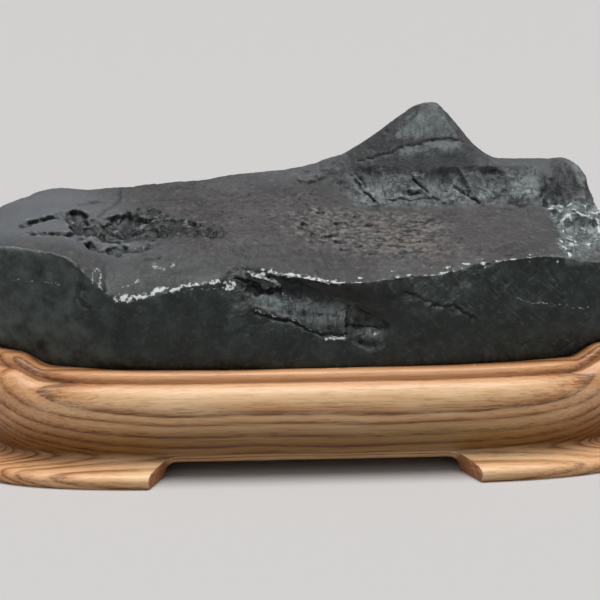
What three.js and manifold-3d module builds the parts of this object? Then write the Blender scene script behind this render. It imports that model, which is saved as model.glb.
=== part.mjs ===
// A dark river-polished scholar's rock, standing in a hand-carved hardwood stand.
//
// The rock is a long plateau with one pointed summit, a low terrace behind it and a steep front cliff.
// The stand is one block of ring-porous wood: a thin lip that hugs the rock, a swelling shoulder under
// the lip, a waist that draws in, and four corner feet whose toes flare out onto the table.
//
// Frame: millimetres, +Z up, the rock's long axis along X, its cliff facing -Y.
// The origin is on the table, under the middle of the stand.

import * as THREE from "three";
import { mergeVertices } from "three/addons/utils/BufferGeometryUtils.js";
import Module from "manifold-3d";

// ---- Driving dimensions -------------------------------------------------------------------------

const ROCK = {
  halfLength: 142,
  halfDepth: 53,
  middle: new THREE.Vector2(1, -1),
  squareness: 3.2,
  bottom: 38,
  frontY: -50,
  ridgeY: 28,
};
// How finely the rock is cut up along its length, depth and height.
const ROCK_CELLS = new THREE.Vector3(46, 18, 6);

const SUMMIT = {
  x: 57,
  y: 27,
  height: 27,
  reachLeft: 28.5,
  reachRight: 16,
  reachDeep: 16,
  leftPower: 1.7,
  rightPower: 2.1,
};

// Width of the slope up to the terrace: short along most of it, long on the rough right shoulder.
const TERRACE_SLOPE = { width: 14, shoulderWidth: 30, from: 88, to: 112 };

// The shallow basin in the top, and the scoop broken out of the cliff's edge.
const BASIN = { x: -82, y: -4, depth: 5, reachX: 36, reachY: 17 };
const SCOOP = {
  line: new THREE.Line3(new THREE.Vector3(-28, 0, 80), new THREE.Vector3(20, 0, 60)),
  depth: 7,
  reach: 9,
};

const STAND = {
  halfLength: 141,
  halfDepth: 62,
  squareness: 4,
  rimHeight: 45,
  gentleRise: 0.8,
  endRise: 5,
  endRiseFrom: 111,
  endRiseTo: 127,
  riseStart: 12,
  soleInner: -12.5,
  underInner: -16,
  underside: 5.4,
};
const STAND_SEGMENTS = 96;

// The arches that part the feet: a low tunnel whose mouths open out through the stand's sides.
const ARCH_MOUTH = { height: 28, cornerWidth: 20, cornerHeight: 24 };
const ARCH_THROAT = { height: 5.8, cornerWidth: 5, cornerHeight: 4 };
const ARCH_TAPER = 20;
const LONG_ARCH = { mouthAt: 70, mouthHalfSpan: 68.5, throatHalfSpan: 61 };
const END_ARCH = { mouthAt: 149, mouthHalfSpan: 21.5, throatHalfSpan: 14 };
const ARCH_CORNER_STEPS = 6;

// The seat is cut for a slightly larger and plainer copy of the rock.
const SEAT_CELLS = new THREE.Vector3(24, 10, 6);
const SEAT_GAP = { side: 1, bottom: 0.4 };

// ---- Lines along the rock, as [x, value] pairs ----------------------------------------------------

// Height of the cliff's top edge.
const EDGE_HEIGHT = [
  [-143, 80], [-125, 91], [-101, 90], [-90, 81], [-80, 76], [-68, 77], [-50, 80], [-34, 81],
  [-20, 84.5], [-3, 82.5], [12, 80.5], [38, 83], [52, 84], [64, 87.5], [96, 88.5], [112, 84],
  [125, 80], [145, 74],
];
// Height that the plateau reaches where it meets the ridge.
const PLATEAU_HEIGHT = [
  [-143, 95], [-122, 104], [-9, 112], [20, 106], [60, 103], [95, 101], [122, 96], [132, 90], [145, 80],
];
// Height of the ridge behind the plateau, without the summit.
const RIDGE_HEIGHT = [
  [-143, 95], [-122, 105], [-104, 109.5], [-84, 108], [-44, 111], [-9, 115],
  [30, 118], [85, 120], [108, 120], [117, 119.5], [122, 115], [127, 107], [132, 98], [145, 84],
];
// Depth at which the terrace's short cliff stands on the plateau.
const TERRACE_FOOT = [
  [-143, 28], [0, 22], [40, 9], [88, 5], [104, -2], [118, -14], [145, -34],
];

// ---- Small maths ----------------------------------------------------------------------------------

const { clamp, lerp, smoothstep } = THREE.MathUtils;

// A smooth curve through [x, value] pairs, level with its end pairs beyond them.
function along(line, x) {
  const curve = (k) => line[clamp(k, 0, line.length - 1)];
  const slope = (k) => (curve(k + 1)[1] - curve(k - 1)[1]) / (curve(k + 1)[0] - curve(k - 1)[0]);
  const i = line.findIndex((pair) => pair[0] > x) - 1;
  if (i < 0) {
    return x < line[0][0] ? line[0][1] : line.at(-1)[1];
  }
  const span = curve(i + 1)[0] - curve(i)[0];
  const mean = (curve(i + 1)[1] - curve(i)[1]) / span;
  const t = (x - curve(i)[0]) / span;
  const bend = (1 - t) * (slope(i) - mean) - t * (slope(i + 1) - mean);
  return lerp(curve(i)[1], curve(i + 1)[1], t) + bend * t * (1 - t) * span;
}

const bell = (distance) => Math.exp(-(distance ** 2));

// ---- The rock -------------------------------------------------------------------------------------

// The summit: steep on its right, with a long tail to its left.
function summit(x, y) {
  const dx = x - SUMMIT.x;
  const reach = dx < 0 ? SUMMIT.reachLeft : SUMMIT.reachRight;
  const power = dx < 0 ? SUMMIT.leftPower : SUMMIT.rightPower;
  const distance = Math.hypot(dx / reach, (y - SUMMIT.y) / SUMMIT.reachDeep);
  return SUMMIT.height * Math.exp(-(distance ** power));
}

// Height of the rock's upper surface.
function topHeight(x, y) {
  const inFromEdge = clamp((y - ROCK.frontY) / (ROCK.ridgeY - ROCK.frontY), 0, 1);
  const plateau = lerp(along(EDGE_HEIGHT, x), along(PLATEAU_HEIGHT, x), inFromEdge ** 0.7);
  const foot = along(TERRACE_FOOT, x);
  const onShoulder = smoothstep(x, TERRACE_SLOPE.from, TERRACE_SLOPE.to);
  const slopeWidth = lerp(TERRACE_SLOPE.width, TERRACE_SLOPE.shoulderWidth, onShoulder);
  const onTerrace = smoothstep(y, foot, foot + slopeWidth);
  const basin = BASIN.depth * bell(Math.hypot((x - BASIN.x) / BASIN.reachX, (y - BASIN.y) / BASIN.reachY));
  const behind = Math.max(y - ROCK.ridgeY, 0);
  return lerp(plateau, along(RIDGE_HEIGHT, x), onTerrace) + summit(x, y) - basin - behind ** 2 / 45;
}

// How far the broken scoop sets the cliff back.
function scoopDepth(x, z) {
  const spot = new THREE.Vector3(x, 0, z);
  const nearest = SCOOP.line.closestPointToPoint(spot, true, new THREE.Vector3());
  return SCOOP.depth * bell(spot.distanceTo(nearest) / SCOOP.reach);
}

// Share of the outline that the rock's side keeps at a height from 0, its bottom, to 1, its top edge.
function sideShare(h) {
  const tuck = 0.13 * (1 - clamp(h / 0.55, 0, 1)) ** 2;
  const roundOver = 0.025 * smoothstep(h, 0.8, 1);
  return 1 - tuck - roundOver;
}

// A box of many cells whose every corner is carried onto the rock, grown for the seat by a gap.
function rockGeometry(cells, gap = { side: 0, bottom: 0 }) {
  const box = new THREE.BoxGeometry(2, 2, 2, cells.x, cells.y, cells.z);
  box.deleteAttribute("normal");
  box.deleteAttribute("uv");
  const shape = mergeVertices(box);
  const points = shape.getAttribute("position");
  const n = ROCK.squareness;
  for (let i = 0; i < points.count; i++) {
    const [a, b, c] = [points.getX(i), points.getY(i), points.getZ(i)];
    const reach = (Math.abs(a) ** n + Math.abs(b) ** n) ** (1 / n);
    const round = reach > 0 ? Math.max(Math.abs(a), Math.abs(b)) / reach : 0;
    const h = (c + 1) / 2;
    const share = round * sideShare(h);
    const x = ROCK.middle.x + a * share * (ROCK.halfLength + gap.side);
    const y = ROCK.middle.y + b * share * (ROCK.halfDepth + gap.side);
    const z = lerp(ROCK.bottom - gap.bottom, topHeight(x, y), h);
    const front = Math.max(-b, 0) ** 4;
    points.setXYZ(i, x, y + front * scoopDepth(x, z), z);
  }
  return shape;
}

// ---- The stand ------------------------------------------------------------------------------------

// The carved side, from the lip down to the toe, as [outwards from the shoulder, height] pairs.
const SIDE = [
  [-9, 45], [-7.2, 44.9], [-5.7, 44], [-5, 42], [-4.2, 40.7], [-2, 39.3], [-0.5, 37], [0, 33.5],
  [-0.8, 28], [-2.8, 21], [-5.6, 14], [-7.6, 10], [-5.8, 8.3], [0, 6.9], [5.2, 5.8], [7, 3.4], [5.6, 0],
];

// The outline of the stand's shoulder, seen from above.
class ShoulderOutline extends THREE.Curve {
  getPoint(t, target = new THREE.Vector3()) {
    const angle = 2 * Math.PI * t;
    const n = STAND.squareness;
    const x = Math.abs(Math.cos(angle) / STAND.halfLength) ** n;
    const y = Math.abs(Math.sin(angle) / STAND.halfDepth) ** n;
    const radius = (x + y) ** (-1 / n);
    return target.set(radius * Math.cos(angle), radius * Math.sin(angle), 0);
  }
}

// The lip rises gently along the rock and more quickly round its two ends.
function rimRise(x) {
  const gentle = STAND.gentleRise * (x / STAND.halfLength) ** 2;
  return gentle + STAND.endRise * smoothstep(Math.abs(x), STAND.endRiseFrom, STAND.endRiseTo);
}

// One vertical slice of the stand: from the lip, down the side and the sole, to its underside.
function slice(point, outward) {
  const rise = rimRise(point.x) / (STAND.rimHeight - STAND.riseStart);
  const profile = [...SIDE, [STAND.soleInner, 0], [STAND.underInner, STAND.underside]];
  return profile.map(([offset, z]) => point.clone()
    .addScaledVector(outward, offset)
    .setZ(z + rise * Math.max(z - STAND.riseStart, 0)));
}

// The stand before anything is cut from it: slices all round, closed over its top and underside.
function standGeometry() {
  const outline = new ShoulderOutline().getSpacedPoints(STAND_SEGMENTS).slice(0, -1);
  const slices = outline.map((point, i) => {
    const next = outline[(i + 1) % outline.length];
    const last = outline.at(i - 1);
    return slice(point, new THREE.Vector3(next.y - last.y, last.x - next.x, 0).normalize());
  });
  const rows = slices[0].length;
  const top = slices.length * rows;
  const bottom = top + 1;
  const faces = slices.flatMap((_, i) => {
    const a = i * rows;
    const b = ((i + 1) % slices.length) * rows;
    const side = [];
    for (let k = 0; k < rows - 1; k++) {
      side.push(a + k, a + k + 1, b + k, b + k, a + k + 1, b + k + 1);
    }
    return [...side, top, a, b, bottom, b + rows - 1, a + rows - 1];
  });
  const middles = [STAND.rimHeight, STAND.underside].map((z) => new THREE.Vector3(0, 0, z));
  const shape = new THREE.BufferGeometry().setFromPoints([...slices.flat(), ...middles]);
  shape.setIndex(faces);
  return shape;
}

// The outline of an arch, in span and height, reaching below the table.
function archOutline(halfSpan, { height, cornerWidth, cornerHeight }) {
  const outline = new THREE.Shape();
  const spring = height - cornerHeight;
  const flat = halfSpan - cornerWidth;
  outline.moveTo(-halfSpan, -5);
  outline.lineTo(halfSpan, -5);
  outline.absellipse(flat, spring, cornerWidth, cornerHeight, 0, Math.PI / 2);
  outline.absellipse(-flat, spring, cornerWidth, cornerHeight, Math.PI / 2, Math.PI);
  return outline.getPoints(ARCH_CORNER_STEPS);
}

// A tunnel along Y through the whole stand, as rings of points closed by a fan at each mouth.
function tunnelGeometry(arch) {
  const mouth = archOutline(arch.mouthHalfSpan, ARCH_MOUTH);
  const throat = archOutline(arch.throatHalfSpan, ARCH_THROAT);
  const throatAt = arch.mouthAt - ARCH_TAPER;
  const rings = [[-arch.mouthAt, mouth], [-throatAt, throat], [throatAt, throat], [arch.mouthAt, mouth]];
  const points = rings.flatMap(([y, ring]) => ring.map((p) => new THREE.Vector3(p.x, y, p.y)));
  const count = mouth.length;
  const faces = [];
  for (let i = 0; i < count; i++) {
    const next = (i + 1) % count;
    for (let k = 0; k < rings.length - 1; k++) {
      const near = k * count;
      const far = near + count;
      faces.push(near + i, far + i, near + next, near + next, far + i, far + next);
    }
  }
  const last = (rings.length - 1) * count;
  for (let i = 1; i < count - 1; i++) {
    faces.push(0, i, i + 1, last, last + i + 1, last + i);
  }
  const shape = new THREE.BufferGeometry().setFromPoints(points);
  shape.setIndex(faces);
  return shape;
}

// ---- Cutting the seat and the arches ----------------------------------------------------------------

const wasm = await Module();
wasm.setup();

function solidOf(geometry) {
  const shape = mergeVertices(geometry);
  return new wasm.Manifold(new wasm.Mesh({
    numProp: 3,
    vertProperties: new Float32Array(shape.getAttribute("position").array),
    triVerts: new Uint32Array(shape.index.array),
  }));
}

function geometryOf(solid) {
  const mesh = solid.getMesh();
  return new THREE.BufferGeometry()
    .setAttribute("position", new THREE.BufferAttribute(mesh.vertProperties, 3))
    .setIndex(new THREE.BufferAttribute(mesh.triVerts, 1));
}

const carvedStand = solidOf(standGeometry())
  .subtract(solidOf(rockGeometry(SEAT_CELLS, SEAT_GAP)))
  .subtract(solidOf(tunnelGeometry(LONG_ARCH)))
  .subtract(solidOf(tunnelGeometry(END_ARCH).rotateZ(Math.PI / 2)));

// ---- The object -----------------------------------------------------------------------------------

function part(name, shape, material) {
  const mesh = new THREE.Mesh(shape, material);
  mesh.name = name;
  return mesh;
}

const polishedStone = new THREE.MeshStandardMaterial({ color: 0x35393b, roughness: 0.5, metalness: 0 });
const oiledWood = new THREE.MeshStandardMaterial({ color: 0xc79a6c, roughness: 0.55, metalness: 0 });

const object = new THREE.Group();
object.add(
  part("rock", rockGeometry(ROCK_CELLS), polishedStone),
  part("stand", geometryOf(carvedStand), oiledWood),
);

export default object;
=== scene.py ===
import itertools
import math

import bmesh
import bpy
import numpy as np
from mathutils import Matrix, Vector


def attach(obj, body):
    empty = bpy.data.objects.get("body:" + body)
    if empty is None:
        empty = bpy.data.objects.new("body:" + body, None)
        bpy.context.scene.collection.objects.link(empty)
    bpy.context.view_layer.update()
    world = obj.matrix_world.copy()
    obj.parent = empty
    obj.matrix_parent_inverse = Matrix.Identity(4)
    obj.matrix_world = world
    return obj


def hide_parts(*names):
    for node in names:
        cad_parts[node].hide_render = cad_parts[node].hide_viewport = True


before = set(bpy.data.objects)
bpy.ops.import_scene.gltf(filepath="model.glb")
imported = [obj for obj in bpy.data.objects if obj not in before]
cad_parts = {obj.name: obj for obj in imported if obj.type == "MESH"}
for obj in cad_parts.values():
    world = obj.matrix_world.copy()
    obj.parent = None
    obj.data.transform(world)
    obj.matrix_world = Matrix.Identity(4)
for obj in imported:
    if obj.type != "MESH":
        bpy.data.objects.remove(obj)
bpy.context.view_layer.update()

MM = 0.001


# ---- Repeatable patterns for the shaping, in millimetres -------------------------------------------

def smoothstep(value, low, high):
    t = np.clip((value - low) / (high - low), 0, 1)
    return t * t * (3 - 2 * t)


# Whole numbers are kept to 32 bits, and cells are counted from a corner that no point lies beyond.
LOW_BITS = np.uint64(0xFFFFFFFF)
LATTICE_MIDDLE = 4096


def hashed(cells, salt):
    """Three repeatable values from 0 to 1 for each whole-numbered cell of a lattice."""
    x, y, z = (cells + LATTICE_MIDDLE).astype(np.uint64).T
    mixed = x * np.uint64(73856093) ^ y * np.uint64(19349663) ^ z * np.uint64(83492791)
    values = []
    for lane in range(3):
        lane_mix = (mixed + np.uint64(salt * 3 + lane + 1) * np.uint64(2654435761)) & LOW_BITS
        for shift in (16, 13, 16):
            folded = lane_mix ^ (lane_mix >> np.uint64(shift))
            lane_mix = (folded * np.uint64(2246822519)) & LOW_BITS
        values.append(lane_mix / LOW_BITS)
    return np.stack(values, axis=1)


def lumps(points, size, salt):
    """Smooth noise from about -1 to 1, in lumps about size across. Size may differ along X, Y and Z."""
    spot = points / size
    cell = np.floor(spot)
    inside = spot - cell
    fade = inside ** 3 * (inside * (inside * 6 - 15) + 10)
    total = np.zeros(len(points))
    for corner in itertools.product((0, 1), repeat=3):
        pull = hashed(cell + corner, salt) * 2 - 1
        weight = np.prod(np.where(corner, fade, 1 - fade), axis=1)
        total += weight * np.sum(pull * (inside - corner), axis=1)
    return total * 1.5


def rough_lumps(points, size, salt, octaves):
    """Lumps with finer and weaker lumps on them."""
    size = np.asarray(size, float)
    return sum(lumps(points, size / 2 ** k, salt + k) / 2 ** k for k in range(octaves))


def scallops(points, size, salt, lean=0.6):
    """Dished scars about size across, each leaning its own way, with sharp ridges between them."""
    spot = points / size
    cell = np.floor(spot)
    lowest = np.full(len(points), np.inf)
    for corner in itertools.product((-1, 0, 1), repeat=3):
        neighbour = cell + corner
        away = spot - neighbour - hashed(neighbour, salt)
        turn = hashed(neighbour, salt + 1) * 2 - 1
        dish = 0.7 * np.sum(away ** 2, axis=1) + lean * np.sum(turn * away, axis=1)
        lowest = np.minimum(lowest, dish)
    return lowest


def near_line(points, line):
    """Distance from each point to a line of straight stretches, given in the same number of axes."""
    line = np.asarray(line, float)
    nearest = np.full(len(points), np.inf)
    for start, end in zip(line[:-1], line[1:]):
        along = end - start
        t = np.clip((points - start) @ along / (along @ along), 0, 1)
        nearest = np.minimum(nearest, np.linalg.norm(points - start - t[:, None] * along, axis=1))
    return nearest


def bell(distance, reach):
    return np.exp(-(distance / reach) ** 2)


def notch(distance, reach):
    return np.clip(1.3 - distance / reach, 0, 1)


def marked(spots, marks, section=bell):
    """How strongly a set of marks works on each spot. A mark is a line, its strength and its half width."""
    return sum(strength * section(near_line(spots, line), reach) for line, strength, reach in marks)


def wandering(points):
    """The points pushed about a little, so that whatever is drawn at them comes out ragged."""
    sway = np.stack([
        lumps(points, 7.5, 401 + k) + 0.6 * lumps(points, 2.7, 405 + k)
        for k in range(3)
    ], axis=1)
    return points + 1.5 * sway


# ---- Mesh helpers -----------------------------------------------------------------------------------

def object_from(name, mesh):
    piece = bpy.data.objects.new(name, mesh)
    bpy.context.scene.collection.objects.link(piece)
    return piece


def bake_modifiers(piece):
    """Puts the shape that a piece's modifiers give into its mesh."""
    bpy.context.view_layer.update()
    solved = piece.evaluated_get(bpy.context.evaluated_depsgraph_get())
    mesh = bpy.data.meshes.new_from_object(solved)
    old = piece.data
    piece.modifiers.clear()
    piece.data = mesh
    bpy.data.meshes.remove(old)


def positions(mesh):
    """Every vertex, in millimetres."""
    flat = np.empty(len(mesh.vertices) * 3, np.float32)
    mesh.vertices.foreach_get("co", flat)
    return flat.reshape(-1, 3).astype(float) / MM


def set_positions(mesh, points):
    mesh.vertices.foreach_set("co", (points * MM).astype(np.float32).ravel())
    mesh.update()


def normals(mesh):
    flat = np.empty(len(mesh.vertices) * 3, np.float32)
    mesh.vertex_normals.foreach_get("vector", flat)
    return flat.reshape(-1, 3).astype(float)


def edge_ends(mesh):
    flat = np.empty(len(mesh.edges) * 2, np.int32)
    mesh.edges.foreach_get("vertices", flat)
    return flat.reshape(-1, 2).T


def blurred(values, ends, rounds):
    """Each vertex's value averaged with its neighbours', over and over."""
    a, b = ends
    count = np.bincount(a, minlength=len(values)) + np.bincount(b, minlength=len(values))
    for _ in range(rounds):
        total = np.bincount(a, values[b], len(values)) + np.bincount(b, values[a], len(values))
        values = 0.5 * values + 0.5 * total / count
    return values


def store(mesh, name, values, place="POINT"):
    attribute = mesh.attributes.new(name, "FLOAT", place)
    attribute.data.foreach_set("value", np.clip(values, 0, 1).astype(np.float32))


# ---- The rock ---------------------------------------------------------------------------------------

ROCK_VOXEL = 0.55
ROCK_FACES = 190_000

# The frame's corners closer than this are one. Edges that turn more than this keep most of their sharpness.
SAME_CORNER = 0.02
CLIFF_TURN = math.radians(42)
CLIFF_CREASE = 0.85

# The rock's landmarks, in millimetres. Most are marks, each a line, its strength and its half width, and
# the rest are plain lines. Points are (x, y) on the rock's top and (x, z) on its upright faces.

# The broken hollow in the top: where the stone is broken away, and how much deeper some parts lie, those
# parts also darkened with painted shade.
HOLLOW_PARTS = [
    ([(-91, -6), (-80, -3)], 1.0, 11),
    ([(-118, -9), (-108, 0), (-97, 6)], 0.95, 4.2),
    ([(-113, -24), (-98, -19)], 0.8, 4),
    ([(-68, -3), (-56, -9)], 0.95, 12),
    ([(-50, -14), (-38, -24)], 0.75, 4.5),
    ([(-90, -24), (-68, -24)], 0.8, 4),
]
HOLLOW_DEPTHS = [
    ([(-98, -6), (-82, -2)], 1.9, 8),
    ([(-118, -9), (-97, 6)], 1.0, 4),
    ([(-68, -3), (-56, -9)], 0.5, 11),
    ([(-88, -24), (-70, -24)], 0.6, 4),
    ([(-48, -15), (-39, -23)], 0.4, 4),
]

# Fine creases in the top, and the low ridges that stand beside them.
TOP_CREASES = [
    ([(-80.5, 30), (-80.3, 18), (-86, 12), (-88.7, 7)], 0.9, 0.9),
    ([(-97, 17), (-88, 19)], 0.8, 1.0),
    ([(-55, 24), (-49, 22)], 0.8, 1.2),
    ([(-40, 20), (-35, 15), (-30, 13)], 0.8, 1.1),
    ([(-68, -33), (-62, -34)], 1.0, 1.0),
    ([(-64, 15), (-52, 13), (-44, 8)], 0.7, 0.9),
    ([(-44, -33), (-17, -41), (8, -36)], 0.4, 0.8),
    ([(-30, 2), (-9, -3), (4, -9)], 0.5, 0.8),
    ([(-9, 5.5), (-1, 11.5), (6, 18)], 0.8, 0.9),
    ([(-0.5, 21.5), (8, 22), (13, 23), (18, 22)], 0.8, 0.8),
]
TOP_RIDGES = [
    ([(-9, 3.5), (-1, 9.5), (6, 16)], 1.1, 1.3),
    ([(-0.5, 23.5), (8, 24.5), (13, 25.5), (18, 25)], 0.9, 1.2),
    ([(-116, -12), (-102, -5)], 1.0, 4),
    ([(-70, 3), (-60, -2), (-50, -10)], 0.9, 1.6),
    ([(-92, -17), (-84, -20), (-74, -18)], 1.2, 2),
    ([(-44, -10), (-36, -16), (-33, -24)], 0.9, 2),
]

# The long crack across the summit's front, the pale band under it and the turn at the ridge's right end.
CREST_CRACK = [
    (25, 119.8), (30, 121), (38.7, 123.6), (44.3, 125.8), (51, 127.5), (58, 128.8), (63, 129.6), (71, 128.3),
]
CREST_BAND = [(45, 122.4), (56, 125), (68, 125.6)]
RIDGE_CORNER = [([(90, 121), (110, 122)], -1.6, 8), ([(120, 117), (122, 113)], 2.2, 4)]

# The terrace's short cliff: its slanting cracks, and the blocks that stand proud or are set back.
TERRACE_CRACKS = [
    ([(21, 115), (25, 110), (31, 103)], 1.2, 0.6),
    ([(24, 114.5), (27.5, 110)], 0.9, 0.5),
    ([(48, 113), (50, 111), (54, 106.5)], 1.2, 0.6),
    ([(46, 110), (50, 107)], 0.8, 0.5),
    ([(67, 109), (71, 107), (77, 103)], 1.1, 0.6),
    ([(38, 104), (52, 104.5), (62, 103.6)], 0.7, 0.5),
    ([(107, 112), (105.6, 104), (105, 97)], 1.1, 0.8),
]
TERRACE_BLOCKS = [
    ([(30, 106), (38, 105.5)], 1.5, 3.6),
    ([(66, 107), (80, 105)], 1.5, 3),
    ([(92, 104), (100, 107)], 2.2, 4),
    ([(42, 107), (47, 106)], 0.8, 3),
    ([(56, 111), (60, 107)], -0.8, 3.2),
    ([(84, 115), (87, 108), (89, 103)], -1.4, 3.4),
]

# The recess broken out of the front cliff: its deep parts and its cuts, both also darkened with painted
# shade, and the slabs left standing in it.
RECESS_SHADE = [
    ([(-16, 79.5), (2, 76.5), (16, 74.5), (36, 75)], 1.0, 4.2),
    ([(-30, 80), (-22, 76)], 0.7, 1.6),
    ([(20, 66), (32, 66)], 0.5, 4),
]
RECESS_CUTS = [
    ([(-31, 82), (-26, 79.5), (-21, 76.7), (-13, 77)], 1.5, 1.0),
    ([(-24, 68.6), (-15.6, 66), (-5.5, 62.8), (2.7, 59.8), (14, 58.4)], 1.1, 0.6),
    ([(14, 70), (14.5, 61)], 1.0, 0.6),
    ([(14, 61.3), (25, 61.5)], 0.9, 0.6),
]
RECESS_RAISED = [
    ([(-26, 84), (-22, 82.6), (-17.5, 80.2), (-13, 78.4)], 1.6, 1.3),
    ([(-20, 74), (-5, 69.5), (12, 65.5)], 2.0, 4.2),
    ([(-24, 70.6), (-15.6, 68.2), (-5.5, 65)], 1.0, 1.2),
    ([(6, 57.6), (13, 57.8)], 1.4, 1.5),
    ([(19, 58.3), (25, 59)], 1.9, 2.4),
]

# Creases in the front face.
FRONT_CREASES = [
    ([(-94.5, 92), (-94.4, 83), (-94.6, 75), (-91, 71.5)], 0.7, 0.9),
    ([(-83.5, 88), (-83.4, 77)], 0.5, 1.0),
    ([(47, 70.6), (57.4, 70.8), (61, 68), (66, 64.4)], 1.0, 0.6),
    ([(37, 77), (45, 73.5), (50, 71.5)], 0.7, 0.8),
    ([(96, 86), (101, 80), (104, 72)], 0.8, 1.0),
]

# Creases and flaked places on the back.
BACK_CREASES = [
    ([(-112, 66), (-100, 78), (-84, 76), (-62, 82)], 0.5, 0.5),
    ([(-24, 92), (-14, 80), (2, 68), (8, 56)], 0.6, 0.5),
    ([(2, 68), (22, 72), (38, 66)], 0.4, 0.4),
    ([(44, 104), (54, 86), (50, 70), (58, 58)], 0.5, 0.5),
    ([(86, 92), (100, 78), (120, 74)], 0.5, 0.4),
]
BACK_FLAKES = [
    ([(-92, 68), (-70, 72)], 1.6, 6),
    ([(-6, 84), (16, 80)], 2.0, 7),
    ([(62, 76), (76, 66)], 1.6, 6),
    ([(20, 60), (36, 58)], -1.2, 5),
    ([(104, 88), (112, 96)], -1.4, 6),
]

# The three chipped stretches of the cliff's top edge, and the brightest chips round the recess: along them a
# painted highlight lies over chips that are paler from wear.
CLIFF_EDGE = [
    [(-84, 74.2), (-76, 75.4), (-69, 76.9), (-60, 78.8), (-50, 80.1), (-38, 80.4), (-33, 79)],
    [(-20, 84.9), (-10, 84.6), (3, 81), (11, 80.2), (18, 81.5), (28, 82.6), (39, 84.2)],
    [(44, 83), (52, 84.7), (63, 88), (71, 87.7), (79, 88.6), (96, 89.4), (100, 87)],
]
BRIGHT_CHIPS = [
    ([(-26, 84.4), (-21, 82.4), (-17.5, 80.4), (-13, 78.6)], 1.0, 1.0),
    ([(-20, 84.2), (-14, 83.4), (-8, 84)], 1.0, 0.7),
    ([(-2, 82.2), (4, 80.2), (10, 79.6)], 1.0, 0.8),
    ([(-24, 69.4), (-18, 67.6), (-8, 64.6), (0, 61.4)], 0.85, 0.7),
    ([(5, 57.8), (9, 57.4), (13, 58)], 1.0, 0.9),
    ([(24.6, 60.4), (24, 57.4)], 1.0, 0.9),
    ([(2, 66), (3, 62.6)], 0.9, 0.7),
    ([(-12, 76), (-9, 72)], 0.85, 0.7),
]

# Thin quartz veins on the front, one of them a small loop, and on the back.
QUARTZ = [
    (
        [(-88.5, 79.5), (-88.9, 84.5), (-88, 86), (-86.4, 85.6), (-85.6, 83), (-85.8, 79), (-84.5, 77.8)],
        0.9, 1.1,
    ),
    ([(-127, 80.2), (-118, 81.7), (-106.4, 81.1), (-95, 82)], 0.8, 1.0),
    ([(-76.6, 79), (-70, 80.7)], 0.84, 1.0),
    ([(-64.7, 85.4), (-60, 85.1), (-55.6, 86.6)], 0.84, 1.0),
    ([(82, 72.8), (93, 70.6), (104, 69), (116, 66.6)], 0.84, 1.0),
]
BACK_QUARTZ = [
    ([(-118, 58), (-80, 66), (-46, 64), (-20, 72)], 0.86, 1.0),
    ([(24, 86), (48, 78), (80, 82), (108, 70)], 0.86, 1.0),
    ([(-80, 66), (-74, 56)], 0.84, 0.9),
]


def rounded_rock_mesh():
    """The frame's rock, ready for its broad faces to be rounded while its cliff edges stay."""
    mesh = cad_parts["rock"].data.copy()
    shape = bmesh.new()
    shape.from_mesh(mesh)
    bmesh.ops.remove_doubles(shape, verts=shape.verts, dist=SAME_CORNER * MM)
    crease = shape.edges.layers.float.new("crease_edge")
    for edge in shape.edges:
        edge[crease] = CLIFF_CREASE if edge.calc_face_angle(0) > CLIFF_TURN else 0
    shape.to_mesh(mesh)
    shape.free()
    return mesh


def rock_blank():
    """The rock's broad shape as one even mesh."""
    piece = object_from("rock_visual", rounded_rock_mesh())
    rounding = piece.modifiers.new("rounding", "SUBSURF")
    rounding.levels = rounding.render_levels = 2
    even = piece.modifiers.new("even", "REMESH")
    even.mode = "VOXEL"
    even.voxel_size = ROCK_VOXEL * MM
    bake_modifiers(piece)
    return piece


def rim_height(x):
    """Height of the stand's lip along the rock."""
    return 45 + 0.8 * (x / 141) ** 2 + 5 * smoothstep(np.abs(x), 111, 127)


def regions(points, facing):
    """How much each vertex belongs to each kind of surface on the rock."""
    x, y, z = points.T
    ragged = wandering(points)
    plan = ragged[:, :2]
    wander = lumps(points, 9, 3)
    upward = smoothstep(facing[:, 2] + 0.12 * wander, 0.3, 0.86)
    frontward = smoothstep(-facing[:, 1], 0.2, 0.55) * smoothstep(-y, 26, 36)
    backward = smoothstep(facing[:, 1], 0.2, 0.55) * smoothstep(y, 20, 30)
    crumble = 0.2 * wander + 0.24 * lumps(points, 3.4, 5)
    hollow = smoothstep(marked(plan, HOLLOW_PARTS) + crumble, 0.36, 0.8) * smoothstep(z, 82, 87)
    behind_foot = smoothstep(y, -8, 2) * (1 - smoothstep(y, 17, 23))
    terrace = smoothstep(z, 100, 103.5) * (1 - smoothstep(z, 115, 118)) * behind_foot
    terrace *= smoothstep(x, 16, 26) * (1 - smoothstep(x, 104, 108)) * smoothstep(-facing[:, 1], 0.12, 0.4)
    shoulder = smoothstep(ragged[:, 0] + 5 * wander, 104, 107) * smoothstep(z, 84, 90)
    shoulder *= 1 - smoothstep(z, 103, 108)
    shoulder *= 1 - smoothstep(y, 12, 24)
    recess_line = near_line(ragged[:, [0, 2]], [(-29, 80), (-12, 75), (10, 66), (24, 59)])
    recess = smoothstep(bell(recess_line, 8), 0.38, 0.6) * frontward
    chipped = smoothstep(near_line(ragged[:, [0, 2]], [(36, 80), (58, 80)]) * -1, -9, -4) * frontward
    gravel = smoothstep(marked(plan, [([(6, -16), (44, -18)], 1, 20)]) + 0.2 * wander, 0.3, 0.7) * upward
    striated = smoothstep(x + 0.6 * (z - 60), 34, 60) * frontward * smoothstep(z, 46, 52)
    free = smoothstep(z - rim_height(x), 0.5, 7)
    return {
        "upward": upward,
        "frontward": frontward,
        "backward": backward,
        "hollow": hollow,
        "terrace": terrace,
        "shoulder": shoulder,
        "recess": recess,
        "chipped": chipped,
        "gravel": gravel,
        "striated": striated,
        "free": free,
    }


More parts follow.
